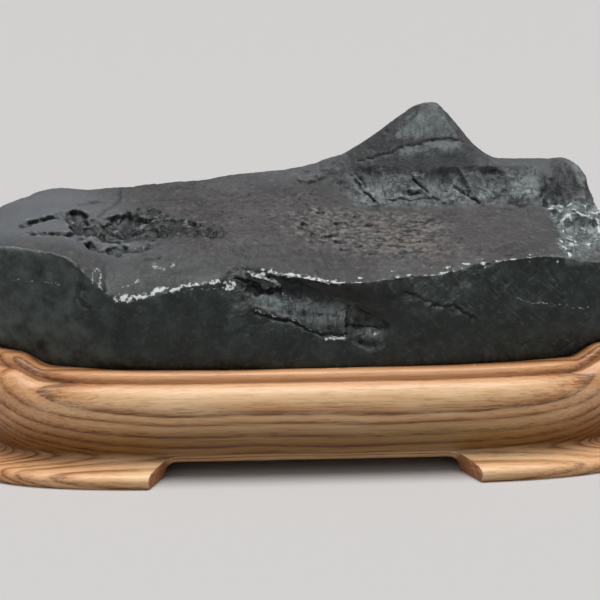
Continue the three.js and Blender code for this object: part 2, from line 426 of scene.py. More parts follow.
def summit_facet(points):
    """Flattens the front of the summit, where a slab has split off it above the long crack."""
    lean = np.array([0.06, -0.94, 0.33])
    middle = np.array([57, 17.6, 131])
    proud = (points - middle) @ (lean / np.linalg.norm(lean))
    share = smoothstep(points[:, 2], 127, 129.5) * smoothstep(points[:, 1], 5, 10)
    return points - np.outer(np.maximum(proud, 0) * share * 0.9, lean / np.linalg.norm(lean))


def broad_forms(points, region):
    """Long swells, worn flats, the sunk hollow and the terrace's set-backs."""
    ragged = wandering(points)
    upright = ragged[:, [0, 2]]
    swell = 1.2 * lumps(points, 38, 11) * (1 - 0.6 * region["upward"])
    upright_share = (1 - region["upward"]) * (1 - region["recess"]) * (1 - region["terrace"])
    flats = 1.8 * (scallops(points, (30, 24, 26), 21) - 0.2) * upright_share
    dome = 1.9 * lumps(points, (26, 13, 20), 17) * region["upward"] * (1 - smoothstep(points[:, 0], -30, 0))
    sunk = (0.2 + 0.7 * marked(ragged[:, :2], HOLLOW_DEPTHS)) * region["hollow"]
    corner = marked(points[:, [0, 2]], RIDGE_CORNER)
    terrace = marked(upright, TERRACE_BLOCKS)
    front = marked(upright, RECESS_RAISED) - 2.2 * marked(upright, RECESS_SHADE)
    back = marked(upright, BACK_FLAKES) * region["backward"]
    return (
        swell + flats + dome + corner - sunk + terrace * region["terrace"]
        + front * region["frontward"] + back
    )


def broken_zones(points, region):
    """Sharp slanting fragments in the hollow, flaked blocks on the terrace, shoulder and recess."""
    slanting = points @ np.array([[0.77, -0.64, 0], [0.64, 0.77, 0], [0, 0, 1]])
    leaning = points @ np.array([[0.85, 0, -0.53], [0, 1, 0], [0.53, 0, 0.85]])
    slabs = 4.2 * scallops(slanting, (4.5, 11, 8), 31, 1.4) + 2.4 * scallops(slanting, (2.8, 5, 4), 41, 1.3)
    crumbled = 2.6 * scallops(points, (9, 6, 7), 43, 1.3) + 1.9 * scallops(points, (4.2, 3.2, 3.4), 47, 1.3)
    deep = smoothstep(-points[:, 0], 70, 82)
    hollow = np.clip(1.5 + deep * slabs + (1 - deep) * crumbled, -2.2, 0.9)
    terrace = 2.2 * scallops(leaning, (8, 9, 15), 51, 1.3) + 0.9 * scallops(leaning, (3.6, 4, 7), 61, 1.2)
    shoulder = 2.8 * scallops(points, (9, 9, 5), 71, 1.2) + 1.7 * scallops(points, (3.6, 3.6, 2.4), 81, 1.2)
    recess = 1.4 * scallops(leaning, (11, 8, 5), 91, 1.2) + 0.8 * scallops(points, (2.4, 3, 6), 101, 1.2)
    chipped = 1.4 * scallops(leaning, (4, 5, 8), 105, 1.2)
    upright = wandering(points)[:, [0, 2]]
    crack = notch(near_line(upright, CREST_CRACK), 0.42) * smoothstep(-points[:, 1], -27, -24)
    band = bell(near_line(upright, CREST_BAND), 2.4) * smoothstep(-points[:, 1], -24, -20)
    summit_side = smoothstep(points[:, 1], 0, 8)
    return (
        hollow * region["hollow"]
        + (terrace + 0.4) * region["terrace"]
        + (shoulder + 0.6) * region["shoulder"]
        + recess * region["recess"]
        + chipped * region["chipped"]
        + (0.8 * band - 0.7 * crack) * summit_side
    )


def worn_skin(points, facing, region, crest):
    """Creases, cracks, chipped edges, pits in the crust and fine striations."""
    ragged = wandering(points)
    upright = ragged[:, [0, 2]]
    creases = marked(ragged[:, :2], TOP_RIDGES) - marked(ragged[:, :2], TOP_CREASES, notch)
    creases *= smoothstep(facing[:, 2], 0.3, 0.6) * (0.6 + 0.6 * lumps(points, 5, 191))
    cracks = marked(upright, TERRACE_CRACKS, notch) * region["terrace"]
    cracks += marked(upright, RECESS_CUTS + FRONT_CREASES, notch) * region["frontward"]
    cracks += marked(upright, BACK_CREASES, notch) * region["backward"]
    slant = points @ np.array([[0.83, 0, -0.56], [0, 1, 0], [0.56, 0, 0.83]])
    patches = smoothstep(lumps(points, 15, 125), -0.3, 0.4)
    scratches = 0.6 * rough_lumps(slant, (10, 5, 2.1), 121, 2) * region["striated"] * patches
    skin = 0.24 * rough_lumps(points, 9, 131, 3) + 0.13 * rough_lumps(points, 2.6, 141, 2)
    weathered = region["upward"] * smoothstep(points[:, 0] + 0.8 * points[:, 1], -70, -35)
    pits = smoothstep(lumps(points, (5, 3.4, 3), 151), 0.22, 0.5) * (0.6 * weathered + 0.6 * region["gravel"])
    crumbs = (0.9 * scallops(points, (4.4, 3, 4), 171, 0.9) + 0.25) * region["gravel"]
    chips = 1.9 * scallops(points, (4.5, 4, 4), 111, 0.9) * crest
    rough = np.clip(region["hollow"] + region["terrace"] + region["shoulder"] + region["recess"], 0, 1)
    return creases - cracks + scratches + skin * (1 + rough) - pits + crumbs + chips


def bulge_of(points, facing, ends, rounds):
    """How far each vertex stands out of its surroundings: positive on ridges, negative in cracks."""
    soft = np.stack([blurred(points[:, k], ends, rounds) for k in range(3)], axis=1)
    return np.sum((points - soft) * facing, axis=1)


def rock():
    piece = rock_blank()
    mesh = piece.data
    ends = edge_ends(mesh)
    points = summit_facet(positions(mesh))
    for shaping in (broad_forms, broken_zones):
        set_positions(mesh, points)
        facing = normals(mesh)
        region = regions(points, facing)
        lift = shaping(points, region)
        points = points + facing * (lift * region["free"])[:, None]
    set_positions(mesh, points)
    facing = normals(mesh)
    region = regions(points, facing)
    crest = smoothstep(bulge_of(points, facing, ends, 14), 0.25, 0.9)
    lift = worn_skin(points, facing, region, crest) * (0.15 + 0.85 * region["free"])
    set_positions(mesh, points + facing * lift[:, None])

    thin = piece.modifiers.new("thin", "DECIMATE")
    thin.ratio = min(1, ROCK_FACES / (2 * len(mesh.polygons)))
    bake_modifiers(piece)
    piece.data.shade_smooth()
    colour_masks(piece.data)
    return piece


def colour_masks(mesh):
    """Stores how crusted, mottle-patched, broken, pale, worn, shaded, veined and tan each vertex is. The
    mottles are partly a painted sheen on the left bulge, the worn crests and edge carry painted sheen and
    highlight, and the shade is painted shade in hollows, cracks and the recess.
    """
    points = positions(mesh)
    facing = normals(mesh)
    ends = edge_ends(mesh)
    region = regions(points, facing)
    ragged = wandering(points)
    plan = ragged[:, :2]
    upright = ragged[:, [0, 2]]
    bulge = blurred(bulge_of(points, facing, ends, 10), ends, 1)
    front = smoothstep(-points[:, 1], 30, 38)
    # The edge mask is a painted highlight over chips paler from wear. It is strongest where the surface faces
    # halfway between up and front, along the cliff's edge, at the bright chips and on the crests of the
    # shoulder and back.
    highlight_facing = bell(facing[:, 2] - 0.5, 0.42)
    edge = sum(bell(near_line(points[:, [0, 2]], line), 3) for line in CLIFF_EDGE) * front * highlight_facing
    edge += marked(upright, BRIGHT_CHIPS) * front
    edge += region["shoulder"] * smoothstep(bulge, 0.0, 0.25)
    edge += 0.8 * highlight_facing * smoothstep(points[:, 1], 24, 32) * smoothstep(bulge, 0.1, 0.5)
    flakes = 0.5 + 0.5 * lumps(points, 6, 311)
    panel = marked(upright, RECESS_RAISED) * region["recess"]
    facets = np.clip(marked(upright, TERRACE_BLOCKS), 0, 2) * region["terrace"]
    summit = smoothstep(points[:, 2], 129, 131) * smoothstep(-facing[:, 1], 0.72, 0.86)
    band = bell(near_line(upright, CREST_BAND), 2.6) * smoothstep(-facing[:, 1], 0.3, 0.6)
    pale = (
        0.5 * panel + 0.35 * facets + 0.75 * summit + 0.6 * band
        + region["shoulder"] * (0.7 + 0.6 * flakes) + 0.12 * region["chipped"]
        + region["terrace"] * (0.35 + 0.3 * flakes) + region["recess"] * 0.15 * flakes
    )
    broken = (
        region["terrace"] + region["shoulder"] + region["recess"] + region["hollow"]
        + 0.6 * region["chipped"]
    )
    tan = marked(plan, [([(36, -30), (54, -38)], 0.9, 9), ([(6, -12), (44, -10)], 0.4, 14)])
    brown = marked(points[:, :2], [([(-50, -10), (70, -20)], 1, 34)])
    shade = marked(upright, RECESS_SHADE) * region["frontward"]
    # Cracks and creases, for the painted shade along them.
    cracks = marked(upright, TERRACE_CRACKS) * region["terrace"]
    cracks += marked(upright, RECESS_CUTS) * region["frontward"]
    cracks += 0.8 * marked(plan, TOP_CREASES) * region["upward"]
    deep = marked(plan, HOLLOW_DEPTHS) / 1.9 * region["hollow"]
    low = 1 - smoothstep(bulge, -0.1, 0.25)
    mottle = 0.3 * lumps(points, 13, 331) + 0.22 * lumps(points, 4, 337)
    crust = smoothstep(facing[:, 2] + mottle, 0.36, 0.8)
    high = smoothstep(points[:, 2], 108, 114)
    left = 1 - smoothstep(points[:, 0] + 0.5 * points[:, 1], -95, -55)
    # Left bulge: lighter grey-green mottles, partly a painted sheen.
    left_bulge_sheen = 1 - smoothstep(points[:, 0] + 12 * mottle, -106, -88)
    near_foot = 0.8 * marked(upright, [([(-108, 56), (-92, 52)], 1, 8)])
    crust = np.maximum(crust, 0.8 * np.maximum(high, region["terrace"]))
    flank = smoothstep(-facing[:, 0], 0.12, 0.4) * high * smoothstep(points[:, 0], 15, 25)
    slope = marked(upright, [([(-88, 82), (-40, 85)], 1, 4.5)]) * front
    store(mesh, "crust", crust * (1 - 0.6 * region["hollow"]) * (1 - 0.45 * flank) * (1 - 0.45 * slope))
    store(mesh, "dome", left * smoothstep(points[:, 1], -40, -18) + 0.5 * high)
    upright_face = region["frontward"] + region["backward"]
    mottles_and_sheen = (0.8 * left_bulge_sheen + near_foot + 0.2) * upright_face
    store(mesh, "mottles_and_sheen", mottles_and_sheen + 0.3 * region["backward"] + 0.7 * slope)
    store(mesh, "brown", brown)
    store(mesh, "pale", pale)
    store(mesh, "broken", broken)
    # Crests: paler from rubbing, and painted with sheen.
    store(mesh, "crest", smoothstep(bulge, 0.12, 0.6))
    # Painted highlight along the chipped cliff edge and on crests, over chips paler from wear.
    store(mesh, "edge", edge)
    # Painted shade: darker in concave places, in the hollow's deep parts, in the recess under the cliff's
    # edge, and along cracks and creases.
    store(mesh, "painted_shade", smoothstep(-bulge, 0.14, 0.6) + 0.7 * deep * low + 0.75 * shade + 0.5 * cracks)
    front_quartz = marked(upright, QUARTZ) * smoothstep(-points[:, 1], 30, 34)
    store(mesh, "quartz", front_quartz + marked(upright, BACK_QUARTZ) * region["backward"])
    store(mesh, "tan", tan * region["upward"])
    store(mesh, "striated", region["striated"] * smoothstep(lumps(points, 15, 125), -0.3, 0.4))
    store(mesh, "gravel", region["gravel"])


# ---- The stand --------------------------------------------------------------------------------------

SHOULDER_LENGTH = 141
SHOULDER_DEPTH = 62
SHOULDER_SQUARENESS = 4
SHOULDER_STEPS = 440
SIDE_STEPS = 5

# The carved side, from the lip down to the toe, as (outwards from the shoulder, height).
SIDE = [
    (-9, 45), (-7.4, 44.9), (-6.2, 44.2), (-5.6, 42.6), (-6.1, 41), (-5.6, 40.2), (-3.6, 39.4), (-1.7, 37.8),
    (-0.4, 35.2), (0, 32), (-0.9, 27.5), (-3.2, 21), (-6.2, 14), (-8, 10), (-6, 8.3), (0, 6.9), (5.2, 5.8),
    (7, 3.4), (5.6, 0),
]
LIP_INNER = -20
SOLE_INNER = -12.5
UNDER_INNER = -16
UNDERSIDE = 5.4
RISE_START = 12
SEAT_GAP = 0.5

# The carver's hand left the sides this uneven, and edges that turn more than this stay crisp.
CARVING_WAVES = 0.16
CRISP_TURN = math.radians(34)

# Each arch: where its mouth is, and its half span, height and corner (width, height) at mouth and throat.
ARCH_TAPER = 20
LONG_ARCH = {"mouth_at": 70, "mouth": (68.5, 28, 20, 24), "throat": (61, 5.8, 5, 4)}
END_ARCH = {"mouth_at": 149, "mouth": (21.5, 28, 20, 24), "throat": (14, 5.8, 5, 4)}


def smooth_line(points, steps):
    """A smooth curve through a line of points, with that many steps between each two."""
    points = np.asarray(points, float)
    before = np.vstack([2 * points[0] - points[1], points[:-2]])
    after = np.vstack([points[2:], 2 * points[-1] - points[-2]])
    start, end = points[:-1], points[1:]
    bend = 2 * before - 5 * start + 4 * end - after
    twist = 3 * start - before - 3 * end + after
    curve = []
    for t in np.arange(steps) / steps:
        curve.append(0.5 * (2 * start + (end - before) * t + bend * t ** 2 + twist * t ** 3))
    return np.vstack([np.stack(curve, axis=1).reshape(-1, 2), points[-1:]])


def shoulder_outline():
    """Evenly spaced points round the stand's shoulder, and the way out from it at each."""
    angle = np.linspace(0, 2 * np.pi, 20 * SHOULDER_STEPS, endpoint=False)
    across = np.abs(np.cos(angle) / SHOULDER_LENGTH) ** SHOULDER_SQUARENESS
    deep = np.abs(np.sin(angle) / SHOULDER_DEPTH) ** SHOULDER_SQUARENESS
    reach = (across + deep) ** (-1 / SHOULDER_SQUARENESS)
    fine = np.stack([reach * np.cos(angle), reach * np.sin(angle)], axis=1)
    walked = np.concatenate([[0], np.cumsum(np.linalg.norm(np.roll(fine, -1, axis=0) - fine, axis=1))])
    even = np.arange(SHOULDER_STEPS) / SHOULDER_STEPS * walked[-1]
    closed = np.vstack([fine, fine[:1]])
    outline = np.stack([np.interp(even, walked, closed[:, k]) for k in range(2)], axis=1)
    way = np.roll(outline, -1, axis=0) - np.roll(outline, 1, axis=0)
    out = np.stack([way[:, 1], -way[:, 0]], axis=1)
    return outline, out / np.linalg.norm(out, axis=1)[:, None]


def skinned(rings):
    """A closed shape drawn out ring by ring, with a flat face over its first and last ring."""
    shape = bmesh.new()
    bmesh.ops.create_circle(shape, cap_ends=True, segments=len(rings[0]), radius=MM)
    spot = shape.verts.layers.int.new("spot")
    for k, vert in enumerate(shape.verts):
        vert[spot] = k
        vert.co = Vector(rings[0][k]) * MM
    edges = list(shape.edges)
    for ring in rings[1:]:
        drawn = bmesh.ops.extrude_edge_only(shape, edges=edges)["geom"]
        moved = {part for part in drawn if isinstance(part, bmesh.types.BMVert)}
        edges = [part for part in drawn if isinstance(part, bmesh.types.BMEdge) and set(part.verts) <= moved]
        for vert in moved:
            vert.co = Vector(ring[vert[spot]]) * MM
    bmesh.ops.contextual_create(shape, geom=edges)
    bmesh.ops.recalc_face_normals(shape, faces=shape.faces)
    return shape


def object_of(name, shape):
    mesh = bpy.data.meshes.new(name)
    shape.to_mesh(mesh)
    shape.free()
    return object_from(name, mesh)


def stand_block():
    """The whole block with its mouldings, before the seat and the arches are cut."""
    outline, out = shoulder_outline()
    rise = (rim_height(outline[:, 0]) - SIDE[0][1]) / (SIDE[0][1] - RISE_START)
    side = smooth_line(SIDE, SIDE_STEPS)
    profile = [(LIP_INNER, SIDE[0][1]), *side, (SOLE_INNER, 0), (UNDER_INNER, UNDERSIDE)]
    rings = []
    for offset, height in profile:
        lifted = height + rise * max(height - RISE_START, 0)
        rings.append(np.column_stack([outline + offset * out, lifted]))
    return object_of("stand_visual", skinned(rings))


def arch_ring(y, half_span, height, corner_width, corner_height):
    turn = np.linspace(0, np.pi / 2, 12)
    right = np.column_stack([
        half_span - corner_width * (1 - np.cos(turn)),
        height - corner_height * (1 - np.sin(turn)),
    ])
    half = np.vstack([[half_span, -5], right])
    ring = np.vstack([half, half[::-1] * (-1, 1)])
    return np.column_stack([ring[:, 0], np.full(len(ring), y), ring[:, 1]])


def arch_cutter(name, arch, quarter_turn):
    """The tunnel under the stand, its two mouths opening out through the sides."""
    throat_at = arch["mouth_at"] - ARCH_TAPER
    rings = [
        arch_ring(-arch["mouth_at"], *arch["mouth"]),
        arch_ring(-throat_at, *arch["throat"]),
        arch_ring(throat_at, *arch["throat"]),
        arch_ring(arch["mouth_at"], *arch["mouth"]),
    ]
    shape = skinned(rings)
    if quarter_turn:
        turn = Matrix.Rotation(math.pi / 2, 3, "Z")
        bmesh.ops.rotate(shape, verts=shape.verts, cent=(0, 0, 0), matrix=turn)
    return object_of(name, shape)


def seat_cutter():
    """The frame's rock, rounded as the visible one is and grown by the gap that the seat leaves."""
    cutter = object_from("seat_cutter", rounded_rock_mesh())
    rounding = cutter.modifiers.new("rounding", "SUBSURF")
    rounding.levels = rounding.render_levels = 1
    bake_modifiers(cutter)
    points = positions(cutter.data)
    set_positions(cutter.data, points + normals(cutter.data) * SEAT_GAP)
    return cutter


def stand():
    piece = stand_block()
    cutters = [
        seat_cutter(),
        arch_cutter("long_arch", LONG_ARCH, quarter_turn=False),
        arch_cutter("end_arch", END_ARCH, quarter_turn=True),
    ]
    for cutter in cutters:
        cut = piece.modifiers.new("cut", "BOOLEAN")
        cut.operation = "DIFFERENCE"
        cut.object = cutter
    bake_modifiers(piece)
    for cutter in cutters:
        bpy.data.objects.remove(cutter)
    points = positions(piece.data)
    carved = smoothstep(points[:, 2], 0.5, 4)
    waves = CARVING_WAVES * lumps(points, (34, 34, 16), 201) * carved
    set_positions(piece.data, points + normals(piece.data) * waves[:, None])
    # Painted shade on the inward-sloping side, from about 8 to 30 mm up.
    store(piece.data, "undercut_shade", smoothstep(-points[:, 2], -30, -15) * smoothstep(points[:, 2], 8, 11))
    middle = np.empty(len(piece.data.polygons) * 3, np.float32)
    piece.data.polygons.foreach_get("center", middle)
    away = np.empty(len(piece.data.polygons) * 3, np.float32)
    piece.data.polygons.foreach_get("normal", away)
    x, y, z = np.abs(middle.reshape(-1, 3).T) / MM
    across, along, _ = np.abs(away.reshape(-1, 3).T)
    long_cut = (x < 80) * (y > 30) * smoothstep(across, 0.45, 0.7)
    end_cut = (x > 100) * (y < 30) * smoothstep(along, 0.45, 0.7)
    store(piece.data, "end_grain", 0.75 * (long_cut + end_cut) * smoothstep(-z, -30, -26), "FACE")
    piece.data.shade_smooth()
    piece.data.set_sharp_from_angle(angle=CRISP_TURN)
    return piece


# ---- Materials --------------------------------------------------------------------------------------

def linear(colour):
    """An sRGB hex colour as the linear values that shaders use."""
    channels = [int(colour[k:k + 2], 16) / 255 for k in (1, 3, 5)]
    return [c / 12.92 if c <= 0.04045 else ((c + 0.055) / 1.055) ** 2.4 for c in channels] + [1]


def add(tree, kind, inputs, output=0, **settings):
    """Adds one node, sets or links its inputs by name or number, and hands back one of its outputs."""
    node = tree.nodes.new("ShaderNode" + kind)
    for name, value in settings.items():
        setattr(node, name, value)
    for name, value in inputs.items():
        if isinstance(value, bpy.types.NodeSocket):
            tree.links.new(value, node.inputs[name])
        else:
            node.inputs[name].default_value = value
    return node.outputs[output] if node.outputs else None


def layered(tree, colour, layers):
    """Lays colours over a first one, each by its own share."""
    for share, tone in layers:
        over = tone if isinstance(tone, bpy.types.NodeSocket) else linear(tone)
        colour = add(tree, "Mix", {0: share, 6: colour, 7: over}, 2, data_type="RGBA")
    return colour


def blank_material(name):
    material = bpy.data.materials.new(name)
    material.use_nodes = True
    material.node_tree.nodes.clear()
    return material, material.node_tree


def waxed_limestone():
    """Fine-grained black limestone, tumbled by a river and then waxed: nearly black and slightly green on
    its worn faces, brown-grey where it lies flat and weathers, pale grey where it broke, with white
    quartz veins."""
    material, tree = blank_material("waxed_limestone")
    spot = add(tree, "TexCoord", {}, "Object")
    mm = add(tree, "Mapping", {"Vector": spot, "Scale": (1000, 1000, 1000)})
    masks = (
        "crust", "dome", "mottles_and_sheen", "brown", "pale", "broken", "crest", "edge", "painted_shade", "quartz", "tan",
        "striated", "gravel",
    )
    mask = {name: add(tree, "Attribute", {}, "Fac", attribute_name=name) for name in masks}
    sizes = {"cloud": (17, 5), "blotch": (6, 4), "fleck": (2.2, 3), "grain": (1.1, 4), "crackle": (6, 3)}
    noise = {
        name: add(tree, "TexNoise", {"Vector": mm, "Scale": 1 / size, "Detail": detail, "Roughness": 0.6})
        for name, (size, detail) in sizes.items()
    }

    # The worn face: green-black, with soft green-grey mottles, lighter on the left bulge as a painted sheen.
    cloudy = add(tree, "MapRange", {0: noise["cloud"], 1: 0.36, 2: 0.66})
    mottles = add(tree, "MapRange", {0: noise["blotch"], 1: 0.5, 2: 0.72, 3: 0, 4: 0.5})
    grey_mottles = add(tree, "MapRange", {0: noise["blotch"], 1: 0.28, 2: 0.72, 3: 0, 4: mask["mottles_and_sheen"]})
    flecks = add(tree, "MapRange", {0: noise["fleck"], 1: 0.54, 2: 0.7, 3: 0, 4: 0.4})
    face = layered(tree, linear("#0d1211"), [
        (cloudy, "#1c2321"),
        (mottles, "#333d38"),
        (grey_mottles, "#474f4b"),
        (flecks, "#454d48"),
    ])

    # The crust on what lies flat: grey on the domes, purple-brown in the middle, with pale and dark specks.
    light_specks = add(tree, "MapRange", {0: noise["fleck"], 1: 0.52, 2: 0.66, 3: 0.0, 4: mask["gravel"]})
    faint_specks = add(tree, "MapRange", {0: noise["fleck"], 1: 0.55, 2: 0.75, 3: 0.0, 4: 0.32})
    tan_specks = add(tree, "MapRange", {0: noise["fleck"], 1: 0.4, 2: 0.62, 3: 0.0, 4: mask["tan"]})
    dark_specks = add(tree, "MapRange", {0: noise["fleck"], 1: 0.44, 2: 0.34, 3: 0.0, 4: mask["brown"]})
    soft_patches = add(tree, "MapRange", {0: noise["blotch"], 1: 0.5, 2: 0.68, 3: 0.0, 4: mask["gravel"]})
    gravel_gaps = add(tree, "MapRange", {0: noise["fleck"], 1: 0.48, 2: 0.38, 3: 0.0, 4: mask["gravel"]})
    crust = layered(tree, linear("#363738"), [
        (mask["brown"], "#3b3739"),
        (mask["dome"], "#55585c"),
        (add(tree, "MapRange", {0: noise["cloud"], 1: 0.4, 2: 0.7, 3: 0, 4: 0.45}), "#5a5859"),
        (faint_specks, "#77746f"),
        (add(tree, "Math", {0: soft_patches, 1: 0.7}, operation="MULTIPLY"), "#66625f"),
        (add(tree, "Math", {0: light_specks, 1: 0.45}, operation="MULTIPLY"), "#827c75"),
        (add(tree, "Math", {0: tan_specks, 1: 0.7}, operation="MULTIPLY"), "#6b645b"),
        (add(tree, "Math", {0: dark_specks, 1: 0.5}, operation="MULTIPLY"), "#1f1f21"),
        (add(tree, "Math", {0: gravel_gaps, 1: 0.42}, operation="MULTIPLY"), "#161617"),
    ])

    # Fresh breaks: grey, drawn out in fine upright streaks, crossed by hairline cracks.
    upright = add(tree, "Mapping", {"Vector": mm, "Scale": (1 / 1.8, 1 / 1.8, 1 / 5)})
    streaks = add(tree, "TexNoise", {"Vector": upright, "Scale": 1, "Detail": 3})
    streaky = add(tree, "MapRange", {0: streaks, 1: 0.38, 2: 0.64})
    patchy = add(tree, "MapRange", {0: noise["blotch"], 1: 0.35, 2: 0.65, 3: 0, 4: 0.8})
    fracture = layered(tree, linear("#4a5153"), [(streaky, "#868c8d"), (patchy, "#656c6c")])
    off_centre = add(tree, "Math", {0: noise["crackle"], 1: 0.5}, operation="SUBTRACT")
    hairline_distance = add(tree, "Math", {0: off_centre}, operation="ABSOLUTE")
    hairlines = add(tree, "MapRange", {0: hairline_distance, 1: 0.024, 2: 0.0, 3: 0.0, 4: mask["broken"]})

    # Slanting scratches on the right of the front.
    slant = add(tree, "Mapping", {"Vector": mm, "Rotation": (0, math.radians(-38), 0)})
    drawn = add(tree, "Mapping", {"Vector": slant, "Scale": (1 / 8, 1 / 4, 1 / 1.4)})
    scratches = add(tree, "TexNoise", {"Vector": drawn, "Scale": 1, "Detail": 4, "Roughness": 0.65})
    scratched = add(tree, "MapRange", {0: scratches, 1: 0.54, 2: 0.74, 3: 0.0, 4: mask["striated"]})

    # Crests paled by rubbing and painted with sheen, the chipped cliff edge with a painted highlight, and the
    # quartz veins.
    rubbed_and_sheen = add(tree, "MapRange", {0: noise["grain"], 1: 0.3, 2: 0.62, 3: 0.1, 4: 0.75})
    chips = add(tree, "MapRange", {0: noise["fleck"], 1: 0.35, 2: 0.65, 3: -0.4, 4: 0.3})
    chips_and_edge_highlight = add(tree, "Math", {0: chips, 1: mask["edge"]}, operation="ADD")
    wander = add(tree, "MapRange", {0: noise["grain"], 1: 0.3, 2: 0.7, 3: -0.2, 4: 0.12})
    broken_vein = add(tree, "Math", {0: wander, 1: mask["quartz"]}, operation="ADD")
    colour = layered(tree, face, [
        (mask["crust"], crust),
        (mask["pale"], fracture),
        (add(tree, "Math", {0: hairlines, 1: 0.75}, operation="MULTIPLY"), "#101313"),
        # Painted shade in hollows, cracks, creases and the recess.
        (mask["painted_shade"], "#0d0f10"),
        (add(tree, "Math", {0: scratched, 1: 0.6}, operation="MULTIPLY"), "#596059"),
        # Crests paler from rubbing, with a painted sheen.
        (add(tree, "Math", {0: mask["crest"], 1: rubbed_and_sheen}, operation="MULTIPLY"), "#8b9091"),
        # Painted highlight on the chipped cliff edge and crests, over chips paler from wear.
        (add(tree, "MapRange", {0: chips_and_edge_highlight, 1: 0.74, 2: 0.95, 3: 0, 4: 0.88}), "#c6caca"),
        (add(tree, "MapRange", {0: broken_vein, 1: 0.7, 2: 0.86, 3: 0, 4: 0.8}), "#a9adab"),
    ])

    bumps = add(tree, "Math", {0: noise["grain"], 1: noise["blotch"]}, operation="ADD")
    lowered = add(tree, "Math", {0: dark_specks, 1: -0.5, 2: bumps}, operation="MULTIPLY_ADD")
    cracked = add(tree, "Math", {0: hairlines, 1: -0.6, 2: lowered}, operation="MULTIPLY_ADD")
    bump = add(tree, "Bump", {"Height": cracked, "Strength": 0.65, "Distance": 0.5 * MM})
    polish = add(tree, "MapRange", {0: noise["grain"], 1: 0.3, 2: 0.7, 3: 0.34, 4: 0.48})
    dull = add(tree, "Math", {0: mask["crust"], 1: 0.24, 2: polish}, operation="MULTIPLY_ADD")
    surface = add(tree, "BsdfPrincipled",
                  {"Base Color": colour, "Roughness": dull, "Normal": bump, "IOR": 1.5,
                   "Specular IOR Level": 0.3})
    add(tree, "OutputMaterial", {"Surface": surface})
    return material


# Where each growth ring ends, in millimetres outwards from the tree's heart.
RING_ENDS = [31.2, 33.8, 36.3, 38.8, 40.2, 41.9, 44.7, 46.9, 50.8, 55.5, 61.4, 65.1, 73.2, 76.6]
GRAIN_TILT = math.radians(50)

# The wood's tone across one ring, from the dark pore line at its start.
RING_TONES = [
    (0, "#512c0f"), (0.1, "#683d19"), (0.2, "#a8713f"), (0.42, "#cfa476"), (0.78, "#d8b389"),
    (0.95, "#bd8c58"), (1, "#8a5a2e"),
]


